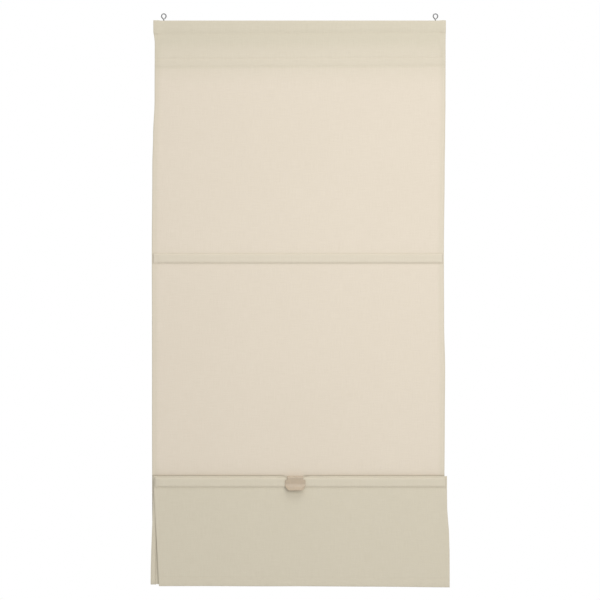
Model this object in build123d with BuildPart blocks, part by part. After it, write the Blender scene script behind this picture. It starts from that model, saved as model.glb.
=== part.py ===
from build123d import *
import os
from math import cos, radians, sin

# Roman blind without cords, hung by two screw eyes, with its lowest rib folded up and clipped
# to the rib above it. The cloth is shown the way it hangs: down the back, up behind the folded
# rib, and over it as a front flap.
#
# Millimetres. +Z is up, +X is to the right as seen from the room, and the room is towards -Y.
# The origin is midway between the centres of the two screw eyes' rings. A "drop" is a distance
# measured down from the cloth's top edge.

# Cloth
blind_width = 600.0
cloth_thick = 0.6
layer_gap = 0.2             # between two layers that lie on each other
ease = 0.3                  # clearance between the cloth or the clip and what lies beside it
side_hem = 10.0
bottom_hem = 18.5
stitch_band = 2.0           # height of the margin that a seam holds
crease_radius = 0.8         # tightest bend of the cloth's centre line

# Ribs: flat slats in sewn pockets
slat_height = 14.0
slat_thick = 1.6
slat_corner = 2.0
slat_end_gap = 2.0          # from a slat's end to the side hem's stitches
pocket_room = 1.75          # from the slat's edge to the row of stitches beside it
strip_thick = 0.5
rib_1_drop = 86.0
rib_2_drop = 490.0
rib_3_drop = 950.5          # rib 4 is clipped up to the same height

# The folded part below rib 3
fold_margin = 2.9           # from the pocket strip's upper edge up to the top of the fold
pressed_margin = 0.25       # the same where the clip presses the fold down
fold_gap = 2.0              # between the two layers that meet in the fold
loop_hang = 210.0           # from rib 3's middle down to the bottom of the back loop
flap_hang = 213.0           # from rib 4's middle down to the flap's lower edge
flap_lean_left = 11.0       # how far the flap's lower corners sit to the right
flap_lean_right = 6.0

# Head batten and screw eyes
batten_height = 22.5
batten_thick = 5.0
batten_end_gap = 5.0        # from the batten's end to the cloth's side edge
batten_edge = 0.6
eye_inset = 20.0            # from the cloth's side edge to the eye
eye_rise = 9.5              # from the cloth's top edge up to the ring's centre
eye_outer_diameter = 11.6
eye_wire = 2.3
eye_lean = 40.0             # angle between the shank and the straight sides below the ring
eye_neck_radius = 2.5       # bend from the shank into the first of these sides
eye_end_gap = 0.4           # between the wire's end and the first side
shank_depth = 13.0          # how deep the shank goes into the batten
shank_tip = 2.5
pilot_diameter = 1.9

# Lift clip
clip_x = -9.0
clip_thick = 1.4
clip_leg_short = 1.0        # how far above the slat's lower edge the leg's tip stops
clip_neck_width = 33.0
clip_tab_width = 42.0
clip_tab_rise = 6.0         # from the ribs' middle up to the tab's shoulders
clip_tab_fall = 16.2        # from the ribs' middle down to the lip
clip_shoulder_bulge = 1.4   # how far the tab's top stands out from its waist
clip_lip_reach = 9.0        # how far the lip stands out from the waist
clip_waist_drop = 2.0       # from the ribs' middle down to the waist
clip_waist_radius = 12.0
clip_bend_radius = 2.2
clip_shoulder_corner = 3.0
clip_lip_corner = 12.0
clip_rim_width = 2.0
clip_rim_height = 0.9
mouth_side_gap = 5.0        # between the clip's leg and the ends of the gap in the seam

os.makedirs("parts", exist_ok=True)


def level(drop):
    """Height of a point that lies this far below the cloth's top edge."""
    return -(eye_rise + drop)


def wall(y):
    """Upright plane at y, seen from the room: its own x and y are +X and +Z."""
    return Plane.XZ.offset(-y)


# Places across the thickness, from the panel at the back to the clip in front. Each is the
# centre line of its layer.
panel_y = -(batten_thick / 2 + ease + cloth_thick / 2)
panel_face = panel_y - cloth_thick / 2
return_y = panel_y + cloth_thick + layer_gap
batten_back_y = -panel_y
slat_1_front = panel_y + cloth_thick / 2 + ease
slat_2_back = panel_face - ease
slat_3_back = panel_face - ease - clip_thick - ease
strip_3_face = slat_3_back - slat_thick - ease - strip_thick
middle_y = strip_3_face - ease - cloth_thick / 2
front_y = middle_y - cloth_thick - fold_gap
front_face = front_y - cloth_thick / 2
slat_4_back = front_face - ease
strip_4_face = slat_4_back - slat_thick - ease - strip_thick

# Places up and down
batten_top_drop = cloth_thick + ease
head_seam_drop = batten_top_drop + batten_height + ease + cloth_thick + stitch_band / 2
half_pocket = slat_height / 2 + pocket_room
strip_margin = half_pocket + stitch_band    # from a rib's middle to its strip's edge
slat_reach = slat_height / 2 + ease
return_end_drop = rib_1_drop + strip_margin
fold_drop = rib_3_drop - strip_margin - fold_margin
pressed_drop = rib_3_drop - strip_margin - pressed_margin
loop_drop = rib_3_drop + loop_hang
flap_start_drop = rib_3_drop + strip_margin
flap_drop = rib_3_drop + flap_hang

half_width = blind_width / 2
slat_length = blind_width - 2 * (side_hem + slat_end_gap)
strip_length = blind_width - 2 * side_hem
batten_length = blind_width - 2 * batten_end_gap
eye_x = half_width - eye_inset
mouth_half = clip_neck_width / 2 + mouth_side_gap


def head_points():
    """The cloth's centre line from the end of its top turning, up round the batten."""
    bulge_y = slat_1_front + slat_thick + ease + cloth_thick / 2
    bulge = slat_reach + cloth_thick / 2
    turn_z = level(cloth_thick / 2)
    under_z = level(batten_top_drop + batten_height + ease + cloth_thick / 2)
    return [
        (return_y, level(return_end_drop)),
        (return_y, level(rib_1_drop + half_pocket)),
        (bulge_y, level(rib_1_drop + bulge)),
        (bulge_y, level(rib_1_drop - bulge)),
        (return_y, level(rib_1_drop - half_pocket)),
        (return_y, level(head_seam_drop)),
        (batten_back_y, under_z),
        (batten_back_y, turn_z),
        (panel_y, turn_z),
        (panel_y, level(return_end_drop)),
    ]


def folded_run(fold_top, shift):
    """Centre line of the cloth below rib 1, to the start of the front flap.

    It is moved by shift towards the side of the cloth that faces the window.
    """
    loop_radius = (panel_y - middle_y) / 2
    fold_radius = (middle_y - front_y) / 2
    loop_z = level(loop_drop) + loop_radius + cloth_thick / 2
    fold_z = level(fold_top) - fold_radius - cloth_thick / 2
    loop_centre = ((panel_y + middle_y) / 2, loop_z)
    fold_centre = ((middle_y + front_y) / 2, fold_z)
    Line((panel_y + shift, level(return_end_drop)), (panel_y + shift, loop_z))
    CenterArc(loop_centre, loop_radius + shift, 0, -180)
    Line((middle_y - shift, loop_z), (middle_y - shift, fold_z))
    CenterArc(fold_centre, fold_radius - shift, 0, 180)
    Line((front_y + shift, fold_z), (front_y + shift, level(flap_start_drop)))


def seam(drop):
    """Stitched band that closes the gap between the panel and its top turning."""
    middle = ((panel_y + return_y) / 2, level(drop + stitch_band / 2))
    with Locations(middle):
        Rectangle(return_y - panel_y, stitch_band)


# The cloth, as bands across its width: a hem at each side, and a band under the clip where the
# fold is pressed down.
bands = [
    (-half_width, -half_width + side_hem, fold_drop, True),
    (-half_width + side_hem, clip_x - mouth_half, fold_drop, False),
    (clip_x - mouth_half, clip_x + mouth_half, pressed_drop, False),
    (clip_x + mouth_half, half_width - side_hem, fold_drop, False),
    (half_width - side_hem, half_width, fold_drop, True),
]

flap_top_z = level(flap_start_drop)
flap_bottom_z = level(flap_drop)
flap_outline = [
    (-half_width, flap_top_z),
    (half_width, flap_top_z),
    (half_width + flap_lean_right, flap_bottom_z),
    (-half_width + flap_lean_left, flap_bottom_z),
]
flap_inside = [
    (-half_width + side_hem, flap_top_z),
    (half_width - side_hem, flap_top_z),
    (half_width + flap_lean_right - side_hem, flap_bottom_z + bottom_hem),
    (-half_width + flap_lean_left + side_hem, flap_bottom_z + bottom_hem),
]

with BuildPart() as cloth_panel:
    for low_x, high_x, fold_top, hemmed in bands:
        with BuildSketch(Plane.YZ.offset(low_x)):
            with BuildLine():
                FilletPolyline(*head_points(), radius=crease_radius)
            trace(line_width=cloth_thick)
            with BuildLine():
                folded_run(fold_top, 0)
            trace(line_width=cloth_thick)
            for drop in (head_seam_drop, rib_1_drop - strip_margin, rib_1_drop + half_pocket):
                seam(drop)
            if hemmed:
                with BuildLine():
                    folded_run(fold_top, cloth_thick)
                trace(line_width=cloth_thick)
        extrude(amount=high_x - low_x)
    with BuildSketch(wall(front_y + cloth_thick / 2)):
        Polygon(*flap_outline, align=None)
    extrude(amount=cloth_thick)
    with BuildSketch(wall(front_y + cloth_thick * 3 / 2)):
        Polygon(*flap_outline, align=None)
        Polygon(*flap_inside, align=None, mode=Mode.SUBTRACT)
    extrude(amount=cloth_thick)
    with Locations((-eye_x, 0, level(0)), (eye_x, 0, level(0))):
        Hole(radius=eye_wire / 2 + ease, depth=cloth_thick + ease)
cloth_panel.part.label = "cloth_panel"
export_step(cloth_panel.part, "parts/cloth_panel.step")


def strip_line(drop, seat_face, slat_back, pushed_open):
    """Centre line of a pocket strip: sewn to the cloth above and below, and over the slat.

    Where it is pushed open by the clip's leg, its upper margin stands straight up.
    """
    seat_y = seat_face - strip_thick / 2
    over_y = slat_back - slat_thick - ease - strip_thick / 2
    over = slat_reach + strip_thick / 2
    points = [
        (seat_y, level(drop + strip_margin)),
        (seat_y, level(drop + half_pocket)),
        (over_y, level(drop + over)),
    ]
    if pushed_open:
        points += [(over_y, level(drop - strip_margin))]
    else:
        points += [
            (over_y, level(drop - over)),
            (seat_y, level(drop - half_pocket)),
            (seat_y, level(drop - strip_margin)),
        ]
    return points


# The three sewn-on pocket strips. Only rib 3's is pushed open, by the clip's leg.
strips = [
    (2, rib_2_drop, panel_face, slat_2_back, False),
    (3, rib_3_drop, panel_face, slat_3_back, True),
    (4, rib_3_drop, front_face, slat_4_back, False),
]
strip_half = strip_length / 2
strip_bands = [
    (-strip_half, clip_x - mouth_half, False),
    (clip_x - mouth_half, clip_x + mouth_half, True),
    (clip_x + mouth_half, strip_half, False),
]
for number, drop, seat_face, slat_back, entered in strips:
    with BuildPart() as rib_pocket:
        for low_x, high_x, at_clip in strip_bands:
            with BuildSketch(Plane.YZ.offset(low_x)):
                with BuildLine():
                    Polyline(*strip_line(drop, seat_face, slat_back, entered and at_clip))
                trace(line_width=strip_thick)
            extrude(amount=high_x - low_x)
    rib_pocket.part.label = f"rib_pocket_{number}"
    export_step(rib_pocket.part, f"parts/rib_pocket_{number}.step")

# The four slats, each given by its height and the y of its back face
slats = [
    (1, rib_1_drop, slat_1_front + slat_thick),
    (2, rib_2_drop, slat_2_back),
    (3, rib_3_drop, slat_3_back),
    (4, rib_3_drop, slat_4_back),
]
for number, drop, back_y in slats:
    with BuildPart() as rib_slat:
        with BuildSketch(wall(back_y)):
            with Locations((0, level(drop))):
                RectangleRounded(slat_length, slat_height, slat_corner)
        extrude(amount=slat_thick)
    rib_slat.part.label = f"rib_slat_{number}"
    export_step(rib_slat.part, f"parts/rib_slat_{number}.step")

# Softwood batten with a pilot hole for each screw eye
batten_top_z = level(batten_top_drop)
with BuildPart() as head_batten:
    with BuildSketch(Plane.YZ.offset(-batten_length / 2)):
        with Locations((0, batten_top_z - batten_height / 2)):
            RectangleRounded(batten_thick, batten_height, batten_edge)
    extrude(amount=batten_length)
    with Locations((-eye_x, 0, batten_top_z), (eye_x, 0, batten_top_z)):
        Hole(radius=pilot_diameter / 2, depth=shank_depth)
head_batten.part.label = "head_batten"
export_step(head_batten.part, "parts/head_batten.step")

# Screw eyes: one length of wire. It goes straight up as the shank, bends aside at the neck, runs
# round into a ring that faces the room, and comes back down almost to the neck, so the ring is
# drawn out to a point below. The ring's centre is at z = 0.
ring_radius = (eye_outer_diameter - eye_wire) / 2
lean = radians(eye_lean)
neck_z = -ring_radius / sin(lean)
side_x = ring_radius * cos(lean)
side_z = -ring_radius * sin(lean)
# The wire's end stops where it comes within its gap of the first side.
end_reach = (eye_wire / 2 * (1 + cos(2 * lean)) + eye_end_gap) / sin(2 * lean)
end_x = end_reach * sin(lean)
end_z = neck_z + end_reach * cos(lean)
shank_tip_z = batten_top_z - shank_depth

for side, x in (("left", -eye_x), ("right", eye_x)):
    with BuildPart() as screw_eye:
        with BuildLine(Plane.XZ) as eye_wire_path:
            FilletPolyline(
                (x, shank_tip_z + shank_tip),
                (x, neck_z),
                (x - side_x, side_z),
                radius=eye_neck_radius,
            )
            CenterArc((x, 0), ring_radius, 180 + eye_lean, -180 - 2 * eye_lean)
            Line((x + side_x, side_z), (x + end_x, end_z))
        with BuildSketch(Plane.XY.offset(shank_tip_z + shank_tip)):
            with Locations((x, 0)):
                Circle(eye_wire / 2)
        sweep(path=eye_wire_path.wire())
        with Locations((x, 0, shank_tip_z + shank_tip / 2)):
            Cone(eye_wire / 8, eye_wire / 2, shank_tip)
    screw_eye.part.label = f"screw_eye_{side}"
    export_step(screw_eye.part, f"parts/screw_eye_{side}.step")

# Lift clip: one springy moulding. A leg goes down behind rib 3's slat, the neck crosses over
# the fold, and a wider tab lies on rib 4 and ends in a rimmed lip that a thumb can lift.
leg_y = panel_face - ease - clip_thick / 2
bridge_z = level(pressed_drop) + ease + clip_thick / 2
waist_y = strip_4_face - ease - clip_thick / 2
waist_z = level(rib_3_drop + clip_waist_drop)
shoulder_y = waist_y - clip_shoulder_bulge
tab_top_z = level(rib_3_drop - clip_tab_rise)
lip_z = level(rib_3_drop + clip_tab_fall)
lip_y = waist_y - clip_lip_reach
clip_depth = -2 * lip_y     # deeper than the clip is, to cut its face outline right through


def leaning_y(z):
    """The y of the clip's centre line at a height between the bridge and the waist."""
    return shoulder_y + (waist_y - shoulder_y) * (bridge_z - z) / (bridge_z - waist_z)


def tab_side(forward):
    """Centre line of the tab seen from the side, moved forward by this much."""
    FilletPolyline(
        (leaning_y(tab_top_z) - forward, tab_top_z),
        (waist_y - forward, waist_z),
        (lip_y - forward, lip_z),
        radius=clip_waist_radius,
    )


def tab_front(inset):
    """Front view of the tab before its corners are rounded, made smaller by inset."""
    with Locations((clip_x, (tab_top_z + lip_z) / 2)):
        Rectangle(clip_tab_width - 2 * inset, tab_top_z - lip_z - 2 * inset)


with BuildPart() as tab_rim:
    with BuildSketch(Plane.YZ.offset(clip_x)):
        with BuildLine():
            tab_side(clip_rim_height)
        trace(line_width=clip_thick)
    extrude(amount=clip_tab_width / 2, both=True)
    with BuildSketch(wall(0)) as rim_outside:
        tab_front(0)
        fillet(rim_outside.vertices().group_by(Axis.Y)[0], clip_lip_corner)
    extrude(amount=clip_depth, mode=Mode.INTERSECT)
    with BuildSketch(wall(0)) as rim_inside:
        tab_front(clip_rim_width)
        fillet(rim_inside.vertices().group_by(Axis.Y)[0], clip_lip_corner - clip_rim_width)
        with Locations((clip_x, tab_top_z)):
            Rectangle(clip_tab_width, 2 * (tab_top_z - waist_z))
    extrude(amount=clip_depth, mode=Mode.SUBTRACT)

with BuildPart() as lift_clip:
    with BuildSketch(Plane.YZ.offset(clip_x)):
        with BuildLine():
            tab_side(0)
        trace(line_width=clip_thick)
    extrude(amount=clip_tab_width / 2, both=True)
    with BuildSketch(wall(0)) as face:
        tab_front(0)
        fillet(face.vertices().group_by(Axis.Y)[-1], clip_shoulder_corner)
        fillet(face.vertices().group_by(Axis.Y)[0], clip_lip_corner)
    extrude(amount=clip_depth, mode=Mode.INTERSECT)
    add(tab_rim.part)
    with BuildSketch(Plane.YZ.offset(clip_x)):
        with BuildLine():
            FilletPolyline(
                (leg_y, level(rib_3_drop + slat_height / 2 - clip_leg_short)),
                (leg_y, bridge_z),
                (shoulder_y, bridge_z),
                (leaning_y(tab_top_z - clip_thick), tab_top_z - clip_thick),
                radius=clip_bend_radius,
            )
        trace(line_width=clip_thick)
    extrude(amount=clip_neck_width / 2, both=True)
lift_clip.part.label = "lift_clip"
export_step(lift_clip.part, "parts/lift_clip.step")
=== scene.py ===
# %% [markdown]
# # A cloth roman blind, folded up and clipped
#
# The blind is one long piece of unbleached cotton. Its top is turned over a wooden batten, and
# flat ribs lie in pockets sewn across it. The lowest rib is folded up against the one above, and
# a plastic clip hooks over both.
#
# The solid model comes first and sets every size and place. This script dresses it: soft parts
# get new meshes with folds, hems and stitches, and hard parts keep their own shape and get a
# finish. The unit is the metre, so lengths below are written as a number times `mm`.

# %% Load the model
from math import ceil, cos, pi, radians, sin

import bpy
import numpy as np
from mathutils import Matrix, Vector, noise


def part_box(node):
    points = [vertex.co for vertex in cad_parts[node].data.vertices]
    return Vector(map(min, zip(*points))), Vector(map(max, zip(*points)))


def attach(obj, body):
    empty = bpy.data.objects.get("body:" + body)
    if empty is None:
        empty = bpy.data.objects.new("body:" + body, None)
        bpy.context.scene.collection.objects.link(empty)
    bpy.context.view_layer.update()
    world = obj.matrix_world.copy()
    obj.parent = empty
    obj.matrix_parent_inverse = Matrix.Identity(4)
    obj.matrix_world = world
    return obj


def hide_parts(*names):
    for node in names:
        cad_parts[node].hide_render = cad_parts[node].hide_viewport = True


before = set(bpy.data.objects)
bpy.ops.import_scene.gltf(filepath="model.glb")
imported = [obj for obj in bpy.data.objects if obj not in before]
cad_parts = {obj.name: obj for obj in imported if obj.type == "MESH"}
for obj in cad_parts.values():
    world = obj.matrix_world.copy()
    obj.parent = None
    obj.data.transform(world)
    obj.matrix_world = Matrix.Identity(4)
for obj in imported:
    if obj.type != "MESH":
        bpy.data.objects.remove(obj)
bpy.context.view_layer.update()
mm = 0.001

# %% [markdown]
# ## Places taken from the solid model
#
# Every layer of cloth has its own depth, from the window side at +Y to the room at -Y. The
# depths are read from the boxes of the solid pieces, so nothing has to be fitted by eye.

# %% Read the places
solid_cloth = 0.6 * mm              # thickness of the cloth in the solid model
play = 0.3 * mm                     # clearance beside a slat or the clip in the solid model


def box(node):
    """Lowest and highest corner of a solid piece."""
    low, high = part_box(node)
    return np.array(low), np.array(high)


cloth_low, cloth_high = box("cloth_panel")
batten_low, _ = box("head_batten")
slats = {number: box(f"rib_slat_{number}") for number in (1, 2, 3, 4)}
strips = {number: box(f"rib_pocket_{number}") for number in (2, 3, 4)}
clip_low, clip_high = box("lift_clip")
rib_z = {number: (low[2] + high[2]) / 2 for number, (low, high) in slats.items()}

panel_y = strips[2][1][1] + solid_cloth / 2
middle_y = strips[3][0][1] - play - solid_cloth / 2
flap_y = strips[4][1][1] + solid_cloth / 2
back_y = cloth_high[1] - solid_cloth / 2
top_z = cloth_high[2]
flap_end_z = cloth_low[2]
clip_x = (clip_low[0] + clip_high[0]) / 2
print("layers at y =", [round(y / mm, 2) for y in (back_y, panel_y, middle_y, flap_y)], "mm")
print("ribs at z =", {number: round(z / mm, 1) for number, z in rib_z.items()}, "mm")

# %% [markdown]
# ## The route of the cloth
#
# Seen from the side, the whole blind is one line: it starts as the turned-over end behind rib 1,
# goes up round the batten, down the back of the blind, round the loop at the bottom, up between
# the layers, over the fold and down again as the front flap, and it ends in the bottom hem.
# A curve object could hold this line, but a list of corners with a radius each is easier to
# tie to the model and to read. Arcs round the corners off.

# %% Corners of the route
half_width = 300 * mm
side_hem = 10 * mm
bottom_hem = 18.5 * mm
cloth_thick = 0.5 * mm
hem_step = 0.7 * mm                 # from one layer of a hem to the next
row_rise = 8.75 * mm                # from a rib's middle to the stitches of its pocket
head_seam_drop = 26.4 * mm
seam_fade = 16 * mm                 # from the head seam down to where the panel hangs straight
turning_drop = 96.75 * mm           # how far down the turned-over end reaches
loop_hang = 210 * mm                # from rib 3's middle down to the bottom of the loop
flap_start_drop = 11 * mm           # from rib 4's middle down to where the flap hangs free
hair = 0.01 * mm                    # taken off a turn's radius, so that its two arcs don't meet
loop_z = rib_z[3] - loop_hang
fold_z = strips[4][1][2] + 2.1 * mm # the fold stands this much above rib 4's strip
return_y = panel_y + 0.8 * mm       # the turned-over end lies close behind the panel
bulge_y = slats[1][1][1] + play + solid_cloth / 2
pocket_z = slats[1][1][2] - rib_z[1] + solid_cloth
head_front_y = panel_y - 1.5 * mm   # the batten fills its pocket, so the front stands proud


def cloth_corners():
    """Name, y, z and radius of each corner of the cloth's middle line."""
    soft = 1.2 * mm
    loop = (panel_y - middle_y) / 2 - hair
    fold = (middle_y - flap_y) / 2 - hair
    turn = hem_step / 2 - hair
    batten_turn = 1.0 * mm
    turned_z = top_z - solid_cloth / 2
    under_z = batten_low[2] - play - solid_cloth / 2
    lean = 1 * mm                   # the flap hangs this much nearer the room at its hem
    flap_low_y = flap_y - lean
    return [
        ("turning end", return_y, top_z - turning_drop, 0),
        ("low row", return_y, rib_z[1] - row_rise, soft),
        ("low bulge", bulge_y, rib_z[1] - pocket_z, soft),
        ("high bulge", bulge_y, rib_z[1] + pocket_z, soft),
        ("high row", return_y, rib_z[1] + row_rise, soft),
        ("back seam", return_y, top_z - head_seam_drop, soft),
        ("batten low", back_y, under_z, 2 * soft),
        ("batten back", back_y, turned_z, batten_turn),
        ("batten front", head_front_y, turned_z, batten_turn),
        ("head low", head_front_y, top_z - head_seam_drop + 8 * mm, 8 * soft),
        ("head seam", panel_y, top_z - head_seam_drop, 2 * soft),
        ("below seam", panel_y + 0.1 * mm, top_z - head_seam_drop - seam_fade, 6 * soft),
        ("loop in", panel_y, loop_z, loop),
        ("loop out", middle_y, loop_z, loop),
        ("fold in", middle_y, fold_z, fold),
        ("fold out", flap_y, fold_z, fold),
        ("flap start", flap_y, rib_z[4] - flap_start_drop, 20 * soft),
        ("flap end", flap_low_y, flap_end_z, turn),
        ("hem turn", flap_low_y + hem_step, flap_end_z, turn),
        ("hem end", flap_low_y + hem_step, flap_end_z + bottom_hem, 0),
    ]


# %% [markdown]
# `rounded_line` turns such a list into closely spaced points. It is used for the cloth, for the
# pocket strips and for the clip.

# %% Round the corners and measure along the line
def rounded_line(corners, arc_step=radians(9), longest=2 * mm):
    """Points (y, z) along a line with arcs at its corners, and the length at each corner."""
    places = [np.array(corner[1:3]) for corner in corners]
    points = [places[0]]
    corner_index = [0]
    for before, here, after, corner in zip(places, places[1:], places[2:], corners[1:]):
        into = (here - before) / np.linalg.norm(here - before)
        out = (after - here) / np.linalg.norm(after - here)
        turn = np.arccos(np.clip(into @ out, -1, 1))
        side = np.sign(into[0] * out[1] - into[1] * out[0])
        radius = corner[3]
        inward = side * np.array([-into[1], into[0]])
        start = here - into * radius * np.tan(turn / 2)
        centre = start + inward * radius
        count = max(2, ceil(turn / arc_step))
        for step in range(count + 1):
            angle = turn * step / count
            points.append(centre - inward * radius * cos(angle) + into * radius * sin(angle))
        corner_index.append(len(points) - 1 - count // 2)
    points.append(places[-1])
    corner_index.append(len(points) - 1)
    return refined(points, corner_index, [corner[0] for corner in corners], longest)


def refined(points, corner_index, names, longest):
    """Fills long straight runs with points, and gives lengths and the corners' places."""
    full = [points[0]]
    moved = {0: 0}
    for index in range(1, len(points)):
        gap = points[index] - points[index - 1]
        count = max(1, ceil(np.linalg.norm(gap) / longest))
        full += [points[index - 1] + gap * step / count for step in range(1, count + 1)]
        moved[index] = len(full) - 1
    full = np.array(full)
    steps = np.linalg.norm(np.diff(full, axis=0), axis=1)
    along = np.concatenate([[0], np.cumsum(steps)])
    keep = np.concatenate([[True], steps > 1e-9])
    marks = {name: along[moved[index]] for name, index in zip(names, corner_index)}
    return full[keep], along[keep], marks


route, route_along, mark = rounded_line(cloth_corners())
cut_length = route_along[-1]

# %% [markdown]
# ## How the cloth hangs
#
# Cloth is never a ruled sheet. The edges sway a little to and fro, the flap leans to the right,
# seams pull the cloth in and pucker it, and between the ribs it bellies slightly. Each of these
# is a small function of two lengths: `across`, measured from the middle of the blind, and
# `along`, measured on the route. A cloth simulation could do this, but a blind under the pull
# of its own ribs hangs almost flat, so gentle, controlled offsets come closer to it.

# %% Ramps and noise
def ramp(value, start, end):
    """0 before start, 1 after end, and smooth in between."""
    share = np.clip((np.asarray(value, dtype=float) - start) / (end - start), 0, 1)
    return share * share * (3 - 2 * share)


def bump(value, centre, half_flat, fade):
    """1 around centre, falling smoothly to 0 past half_flat."""
    return 1 - ramp(np.abs(value - centre), half_flat, half_flat + fade)


def ripples(across, along, size, seed):
    """Smooth noise from -1 to 1 whose bumps are about size wide and high."""
    flat_across, flat_along = np.broadcast_arrays(across, along)
    values = [
        noise.noise(Vector((x / size[0], s / size[1], seed)))
        for x, s in zip(flat_across.ravel(), flat_along.ravel())
    ]
    return np.array(values).reshape(flat_across.shape)


# %% [markdown]
# The side edges: how far left and right they stand at a few heights down the panel, then at the
# loop, the fold and the flap. The head is widest, because there the hems wrap round the batten.
# The panel drifts to the left on its way down, and the flap swings out to the right.

# %% Side edges
def down_panel(drop):
    """Length along the route at a height of the hanging panel, given as a drop."""
    return mark["below seam"] + drop - head_seam_drop - seam_fade


def down_flap(drop):
    """Length along the route at a height of the front flap, measured down from its start."""
    return mark["flap start"] + drop


edge_knots = [
    # length along the route, left edge, right edge
    (0, -297.5 * mm, 299.5 * mm),
    (mark["back seam"], -297.8 * mm, 300 * mm),
    (mark["batten front"], -301 * mm, 301 * mm),
    (mark["head low"], -301 * mm, 301 * mm),
    (down_panel(44 * mm), -298.2 * mm, 300.5 * mm),
    (down_panel(165 * mm), -298.6 * mm, 300.3 * mm),
    (down_panel(235 * mm), -301.7 * mm, 299.6 * mm),
    (down_panel(300 * mm), -303.3 * mm, 298.7 * mm),
    (down_panel(480 * mm), -304.3 * mm, 297 * mm),
    (down_panel(620 * mm), -304.0 * mm, 297.6 * mm),
    (down_panel(720 * mm), -303.9 * mm, 299.6 * mm),
    (down_panel(820 * mm), -303.9 * mm, 298.9 * mm),
    (down_panel(940 * mm), -303.6 * mm, 298.2 * mm),
    (down_panel(1070 * mm), -303.2 * mm, 297.6 * mm),
    (mark["loop in"], -306.2 * mm, 297 * mm),
    (mark["loop out"], -306.2 * mm, 297 * mm),
    (mark["fold out"], -300.5 * mm, 302.9 * mm),
    (mark["flap start"], -300 * mm, 302.8 * mm),
    (down_flap(46 * mm), -297.4 * mm, 303.3 * mm),
    (down_flap(88 * mm), -295.0 * mm, 306.8 * mm),
    (down_flap(130 * mm), -292.8 * mm, 308.0 * mm),
    (mark["flap end"], -289 * mm, 308.2 * mm),
    (cut_length, -289 * mm, 308.2 * mm),
]


def edges(along):
    """Left and right edge at a length along the route: straight on the flap, curved above."""
    knots = np.array(edge_knots)
    place = np.clip(np.searchsorted(knots[:, 0], along, side="right") - 1, 0, len(knots) - 2)
    low, high = knots[place], knots[place + 1]
    share = (along - low[..., 0]) / (high[..., 0] - low[..., 0])
    eased = np.where(along > mark["fold out"], share, ramp(share, 0, 1))
    left = low[..., 1] + (high[..., 1] - low[..., 1]) * eased
    right = low[..., 2] + (high[..., 2] - low[..., 2]) * eased
    return left, right


hem_edges = [round(float(edge) / mm, 1) for edge in edges(np.array(mark["flap end"]))]
print("side edges at the flap's hem:", hem_edges, "mm")

# %% [markdown]
# The offsets towards the face of the cloth. Rows of stitches pull it back by a few tenths of a
# millimetre, and rib 1 presses forward between its two rows.

# %% Rows of stitches and puckers
hem_margin = 1.5 * mm               # from the bottom hem's raw edge to its stitches
seam_sink = 0.5 * mm                # how far a pocket's rows of stitches pull the cloth back
panel_rows = [down_panel(top_z - rib_z[1] + side * row_rise) for side in (-1, 1)]
pocket_rows = [down_panel(top_z - rib_z[2] + side * row_rise) for side in (-1, 1)]
flap_rows = [down_flap(side * row_rise - flap_start_drop) for side in (-1, 1)]
rib_3_along = down_panel(top_z - rib_z[3])
hem_row = mark["flap end"] - bottom_hem + hem_margin
held_rows = [mark["head seam"], *panel_rows, *pocket_rows, rib_3_along]


def pucker(across, along, row, seed):
    """Small waves beside a row of stitches, dying out away from it."""
    depth = 0.16 * mm
    away = np.abs(along - row)
    beside = ramp(away, 0.5 * mm, 5 * mm) * np.exp(-away / (9 * mm))
    return depth * beside * ripples(across, along, (13 * mm, 40 * mm), seed)


def seam_shape(across, along):
    """Offset of the cloth at its rows of stitches and over rib 1."""
    rib_push = 0.4 * mm
    panel_sink = 0.2 * mm
    hem_sink = 0.12 * mm
    rib_1_middle = sum(panel_rows) / 2
    offset = rib_push * bump(along, rib_1_middle, 3.5 * mm, 5 * mm)
    for row in (*pocket_rows, *flap_rows):
        offset = offset - seam_sink * bump(along, row, 2.2 * mm, 7 * mm)
    for row in panel_rows:
        offset = offset - panel_sink * bump(along, row, 0.3 * mm, 3 * mm)
    offset = offset - hem_sink * bump(along, hem_row, 0.3 * mm, 2.5 * mm)
    for seed, row in enumerate([mark["head seam"], *panel_rows, hem_row]):
        offset = offset + pucker(across, along, row, seed + 0.5)
    return offset


print("held at", [round(float(row), 3) for row in held_rows], "m along the route")

# %% [markdown]
# Between its ribs the panel is slack, and the free flap waves. In `from_held` the distance to
# the nearest rib or seam fades these out where the cloth is held.

# %% Slack, waves and hems
def from_held(along):
    """Distance along the panel to the nearest rib or seam."""
    return np.min([np.abs(along - row) for row in held_rows], axis=0)


def belly(across, along):
    """The slack between ribs: the panel goes back from the room, away from the clip."""
    free = ramp(from_held(along), 12 * mm, 150 * mm)
    free = free * (along > mark["head seam"]) * (along < rib_3_along)
    broad = ripples(across, along, (190 * mm, 230 * mm), 3.1)
    small = ripples(across, along, (75 * mm, 120 * mm), 7.7)
    return -free * mm * (0.9 + 0.9 * broad + 0.35 * small)


def flap_waves(across, along):
    """Soft upright waves of the free flap, growing towards its hem."""
    free = ramp(along, mark["flap start"], mark["flap end"])
    broad = ripples(across, along * 0, (150 * mm, 1), 5.2)
    small = ripples(across, along, (60 * mm, 140 * mm), 9.4)
    sign = np.where(along > mark["flap end"], -1, 1)
    return sign * free * mm * (0.8 + 0.9 * broad + 0.3 * small)


def edge_curl(across, along):
    """Side hems are stiffer than the cloth between them and stand to and fro in slow waves."""
    depth = 0.7 * mm
    hem = ramp(np.abs(across), half_width - 32 * mm, half_width - side_hem)
    panel = ramp(along, mark["below seam"], down_panel(160 * mm)) * (along < rib_3_along)
    wave = ripples(np.sign(across) * 2, along, (1, 90 * mm), 1.3)
    return depth * hem * panel * wave * ramp(from_held(along), 8 * mm, 60 * mm)


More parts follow.
